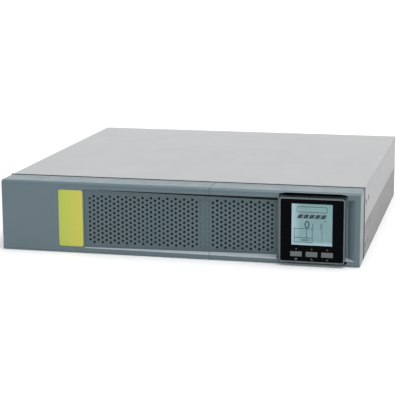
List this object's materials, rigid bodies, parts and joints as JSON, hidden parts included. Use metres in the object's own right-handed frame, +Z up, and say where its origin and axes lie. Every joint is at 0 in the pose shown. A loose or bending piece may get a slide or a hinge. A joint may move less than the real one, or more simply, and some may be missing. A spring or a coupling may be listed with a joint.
{
  "type": "uninterruptible power supply",
  "caption": "Flat two-unit rack and tower battery back-up unit with perforated front bezel, turning square display, slide-out battery tray and rear sockets.",
  "frame": {"origin": "centre of the footprint of the whole unit, on the surface it lies on", "axes": "+X to the right of the front panel, +Y from the front panel to the back, +Z up; the unit lies flat"},
  "size_m": [0.44, 0.4524, 0.087],
  "materials": {
    "case_paint": "fine satin powder coat, light warm grey",
    "inner_steel": "bright zinc-plated sheet",
    "bezel_plastic": "fine-grained blue-grey moulding",
    "accent_plastic": "yellow-green inlay",
    "black_plastic": "fine-grained black",
    "trim_plastic": "light grey lacquer",
    "window_gloss": "black gloss acrylic",
    "lcd_glass": "blue-green liquid crystal panel",
    "button_rubber": "soft grey key",
    "lens_plastic": "clear light guide",
    "circuit_board": "green board with solder mask",
    "battery_case": "dark battery case",
    "terminal_brass": "tinned brass",
    "screw_steel": "bright nickel-plated",
    "heat_aluminium": "extruded, unpainted",
    "component_black": "moulded epoxy and sleeve",
    "core_ferrite": "pressed ferrite",
    "coil_copper": "enamelled copper winding",
    "port_shell": "plated connector shell"
  },
  "bodies": {
    "case": {"battery_socket": "black_plastic", "bay_wall": "inner_steel", "bezel_screws": "screw_steel", "board_standoffs": "terminal_brass", "breaker_body": "black_plastic", "bulk_capacitors": "component_black", "chassis_tray": "case_paint", "choke": "coil_copper", "control_card": "circuit_board", "ear_nuts": "screw_steel", "fan_frame": "black_plastic", "fan_guard": "screw_steel", "fan_screws": "screw_steel", "front_wall": "inner_steel", "heat_sink_1": "heat_aluminium", "heat_sink_2": "heat_aluminium", "inlet_pins": "terminal_brass", "outlet_bank_lower": "black_plastic", "outlet_bank_upper": "black_plastic", "panel_screws": "screw_steel", "port_blocks": "port_shell", "port_board": "circuit_board", "power_board": "circuit_board", "power_inlet": "black_plastic", "power_transistors": "component_black", "rear_panel": "case_paint", "relays": "component_black", "right_bezel": "bezel_plastic", "right_grille": "bezel_plastic", "slot_cover": "case_paint", "slot_screws": "screw_steel", "top_cover": "case_paint", "transformer_coil": "coil_copper", "transformer_core": "core_ferrite"},
    "battery_tray": {"battery_tray": "inner_steel", "tray_screws": "screw_steel", "tray_handle": "black_plastic", "battery_block_1": "battery_case", "battery_block_2": "battery_case", "battery_block_3": "battery_case", "battery_block_4": "battery_case", "battery_terminals": "terminal_brass", "battery_straps": "inner_steel", "battery_plug": "black_plastic"},
    "battery_cover": {"left_bezel": "bezel_plastic", "accent_strip": "accent_plastic", "left_grille": "bezel_plastic"},
    "display": {"display_housing": "black_plastic", "display_trim": "trim_plastic", "display_window": "window_gloss", "lcd_panel": "lcd_glass", "display_board": "circuit_board", "indicator_lenses": "lens_plastic", "button_switches": "screw_steel", "display_retainer": "black_plastic"},
    "button_1": {"display_button_1": "button_rubber"},
    "button_2": {"display_button_2": "button_rubber"},
    "button_3": {"display_button_3": "button_rubber"},
    "fan_rotor": {"fan_rotor": "black_plastic"},
    "breaker_button": {"breaker_button": "component_black"}
  },
  "joints": [
    {"name": "tray_slide", "type": "slide", "parent": "case", "child": "battery_tray", "axis": [0, -1, 0], "range_m": [0, 0.34]},
    {"name": "cover_pull", "type": "slide", "parent": "battery_tray", "child": "battery_cover", "axis": [0, -1, 0], "range_m": [0, 0.06]},
    {"name": "display_turn", "type": "hinge", "parent": "case", "child": "display", "pos_m": [0.1647, -0.21785, 0.043], "axis": [0, 1, 0], "range_deg": [0, 90]},
    {"name": "button_1_press", "type": "slide", "parent": "display", "child": "button_1", "axis": [0, 1, 0], "range_m": [0, 0.0005], "stiffness_N_per_m": 900, "springref_m": -0.0006},
    {"name": "button_2_press", "type": "slide", "parent": "display", "child": "button_2", "axis": [0, 1, 0], "range_m": [0, 0.0005], "stiffness_N_per_m": 900, "springref_m": -0.0006},
    {"name": "button_3_press", "type": "slide", "parent": "display", "child": "button_3", "axis": [0, 1, 0], "range_m": [0, 0.0005], "stiffness_N_per_m": 900, "springref_m": -0.0006},
    {"name": "fan_spin", "type": "hinge", "parent": "case", "child": "fan_rotor", "pos_m": [0.165, 0.19195, 0.0435], "axis": [0, 1, 0], "continuous": true},
    {"name": "breaker_reset", "type": "slide", "parent": "case", "child": "breaker_button", "axis": [0, 1, 0], "range_m": [0, 0.004]}
  ]
}
